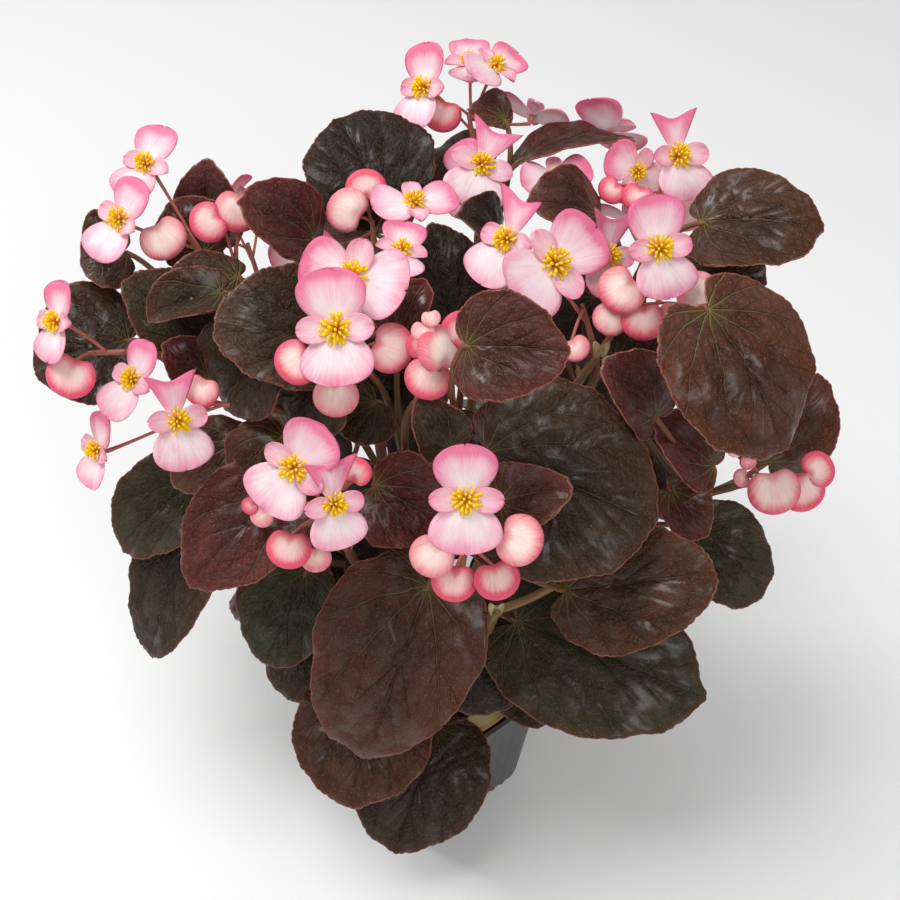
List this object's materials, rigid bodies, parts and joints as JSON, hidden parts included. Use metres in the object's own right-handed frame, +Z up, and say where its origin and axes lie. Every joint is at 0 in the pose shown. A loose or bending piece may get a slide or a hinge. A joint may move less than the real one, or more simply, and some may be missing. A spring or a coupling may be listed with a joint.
{
  "type": "potted wax begonia",
  "caption": "Bronze-leaved wax begonia in full flower, pink and white blooms and buds over glossy dark leaves, standing in a square ribbed nursery pot",
  "frame": {"origin": "middle of the underside of the pot", "axes": "+Z up, the pot's walls face along X and Y; the fullest side of the plant faces between +X and -Y"},
  "size_m": [0.3597, 0.3559, 0.4135],
  "materials": {
    "pot": "dark grey moulded plastic, satin, fine upright ribs",
    "soil": "moist dark potting soil, crumbly and matt",
    "foliage": "waxy bronze to near-black leaf with reddish toothed margin, sheen on the puckers, fleshy red-brown stems",
    "flowers": "soft matt petal, white to blush in the middle and rose pink at the margin, coral stalks",
    "stamens": "golden yellow, matt and granular"
  },
  "bodies": {
    "root": {"pot": "pot", "soil": "soil", "leafy_stem_front": "foliage", "leafy_stem_right_front": "foliage", "leafy_stem_right": "foliage", "leafy_stem_right_back": "foliage", "leafy_stem_back": "foliage", "leafy_stem_left_back": "foliage", "leafy_stem_left_far": "foliage", "leafy_stem_left": "foliage", "leafy_stem_left_front": "foliage", "spray_left_high": "flowers", "spray_left_high_stamens_1": "stamens", "spray_left_high_stamens_2": "stamens", "spray_left_inner": "flowers", "spray_left_tip": "flowers", "spray_left_tip_stamens_1": "stamens", "spray_left_low": "flowers", "spray_left_low_stamens_1": "stamens", "spray_left_low_stamens_2": "stamens", "spray_left_low_stamens_3": "stamens", "spray_front_left": "flowers", "spray_front_left_stamens_1": "stamens", "spray_front_left_stamens_2": "stamens", "spray_front": "flowers", "spray_front_stamens_1": "stamens", "spray_middle": "flowers", "spray_middle_stamens_1": "stamens", "spray_middle_stamens_2": "stamens", "spray_centre": "flowers", "spray_white": "flowers", "spray_white_stamens_1": "stamens", "spray_white_stamens_2": "stamens", "spray_back_bud": "flowers", "spray_back_bud_stamens_1": "stamens", "spray_back_low": "flowers", "spray_back_low_stamens_1": "stamens", "spray_back_low_stamens_2": "stamens", "spray_back_high": "flowers", "spray_back_high_stamens_1": "stamens", "spray_back_high_stamens_2": "stamens", "spray_back_high_stamens_3": "stamens", "spray_right_high": "flowers", "spray_right_high_stamens_1": "stamens", "spray_right_high_stamens_2": "stamens", "spray_right_high_stamens_3": "stamens", "spray_right_middle": "flowers", "spray_right_middle_stamens_1": "stamens", "spray_right_middle_stamens_2": "stamens", "spray_right_inner": "flowers", "spray_right_inner_stamens_1": "stamens", "spray_right_inner_stamens_2": "stamens", "spray_right_tip": "flowers", "spray_far_right": "flowers", "spray_far_right_stamens_1": "stamens", "spray_far_right_stamens_2": "stamens", "spray_far_left": "flowers", "spray_far_left_stamens_1": "stamens", "spray_far_left_stamens_2": "stamens"}
  },
  "joints": []
}
